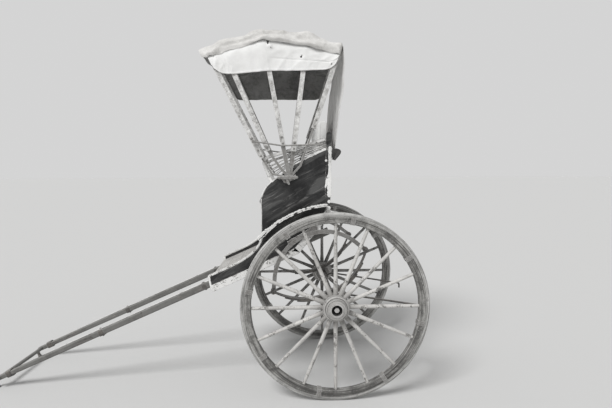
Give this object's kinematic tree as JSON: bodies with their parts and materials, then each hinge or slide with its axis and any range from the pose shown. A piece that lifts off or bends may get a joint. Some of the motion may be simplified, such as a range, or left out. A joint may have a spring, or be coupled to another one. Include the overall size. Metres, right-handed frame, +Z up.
{
  "type": "pulled rickshaw",
  "caption": "Two-wheeled hand-pulled passenger cart with tall spoked wooden wheels, leaf springs, open footwell, padded seat and a folding canvas hood, parked on its shafts.",
  "frame": {"origin": "on the floor, below the middle of the whole cart as it parks", "axes": "+X forward to the ends of the shafts, +Y to the cart's left, +Z up"},
  "size_m": [2.6852, 1.156, 2.174],
  "materials": {
    "iron": "dull worn black iron",
    "tyre_rubber": "weathered grey solid tyre",
    "wheel_wood": "weathered grey painted timber",
    "shaft_wood": "bare weathered timber, chipped paint",
    "white_trim": "chipped white paint on timber",
    "dark_panel": "worn dark gloss paint",
    "grey_board": "bare worn boards",
    "bow_wood": "worn flat slats, light edges",
    "dark_leather": "padded dark cloth",
    "canvas": "old off-white canvas"
  },
  "bodies": {
    "carriage": {"armrests": "white_trim", "axle": "iron", "axle_nuts": "iron", "back_cushion": "canvas", "back_panel": "dark_panel", "back_rails": "dark_panel", "bearers": "shaft_wood", "box_bottom": "grey_board", "crossbar": "shaft_wood", "foot_floor": "grey_board", "hood_pivots": "iron", "hoop_left": "iron", "hoop_right": "iron", "mudguards": "white_trim", "rear_posts": "white_trim", "rear_prop_left": "iron", "rear_prop_right": "iron", "riser": "dark_panel", "seat_board": "grey_board", "seat_cushion": "dark_leather", "shaft_left": "shaft_wood", "shaft_right": "shaft_wood", "sill_left": "white_trim", "sill_right": "white_trim", "spring_bolts": "iron", "spring_clips": "iron", "spring_left": "iron", "spring_right": "iron", "toe_left": "iron", "toe_right": "iron", "wall_left": "dark_panel", "wall_right": "dark_panel"},
    "wheel_left": {"tyre_left": "tyre_rubber", "felloe_left": "wheel_wood", "spokes_left": "wheel_wood", "nave_left": "wheel_wood", "nave_bands_left": "iron"},
    "wheel_right": {"tyre_right": "tyre_rubber", "felloe_right": "wheel_wood", "spokes_right": "wheel_wood", "nave_right": "wheel_wood", "nave_bands_right": "iron"},
    "hood_rear": {"rear_irons": "iron", "bow_4": "bow_wood", "bow_5": "bow_wood", "canopy_rear": "canvas", "stay_rings": "iron", "rear_flap": "canvas"},
    "hood_middle": {"middle_irons": "iron", "bow_3": "bow_wood", "canopy_rear_fold": "canvas"},
    "hood_front": {"front_irons": "iron", "bow_1": "bow_wood", "bow_2": "bow_wood", "canopy_front": "canvas", "canopy_front_fold": "canvas", "stay_pins": "iron"},
    "stay_rod_left": {"stay_left": "iron"},
    "stay_rod_right": {"stay_right": "iron"}
  },
  "joints": [
    {"name": "wheel_left_spin", "type": "hinge", "parent": "carriage", "child": "wheel_left", "pos_m": [-0.76427, 0.5, 0.55], "axis": [0, 1, 0], "continuous": true},
    {"name": "wheel_right_spin", "type": "hinge", "parent": "carriage", "child": "wheel_right", "pos_m": [-0.76427, -0.5, 0.55], "axis": [0, 1, 0], "continuous": true},
    {"name": "hood_fold", "type": "hinge", "parent": "carriage", "child": "hood_rear", "pos_m": [-0.5019, 0, 1.29757], "axis": [0, -1, 0], "range_deg": [0, 66], "deforming": ["rear_flap"]},
    {"name": "hood_middle_fold", "type": "hinge", "parent": "hood_rear", "child": "hood_middle", "pos_m": [-0.5019, 0, 1.29757], "axis": [0, -1, 0], "range_deg": [0, 6.7], "deforming": ["canopy_rear_fold"]},
    {"name": "hood_front_fold", "type": "hinge", "parent": "hood_middle", "child": "hood_front", "pos_m": [-0.5019, 0, 1.29757], "axis": [0, -1, 0], "range_deg": [0, 5], "deforming": ["canopy_front_fold"]},
    {"name": "stay_left_swing", "type": "hinge", "parent": "hood_front", "child": "stay_rod_left", "pos_m": [-0.29316, 0.402, 1.50958], "axis": [0, -1, 0], "range_deg": [-4.12, 0]},
    {"name": "stay_right_swing", "type": "hinge", "parent": "hood_front", "child": "stay_rod_right", "pos_m": [-0.29316, -0.402, 1.50958], "axis": [0, -1, 0], "range_deg": [-4.12, 0]}
  ],
  "couplings": [
    {"joint": "hood_middle_fold", "follows": "hood_fold", "ratio": 0.1015},
    {"joint": "hood_front_fold", "follows": "hood_fold", "ratio": 0.0758},
    {"joint": "stay_left_swing", "follows": "hood_fold", "ratio": -0.0622},
    {"joint": "stay_right_swing", "follows": "hood_fold", "ratio": -0.0622}
  ]
}
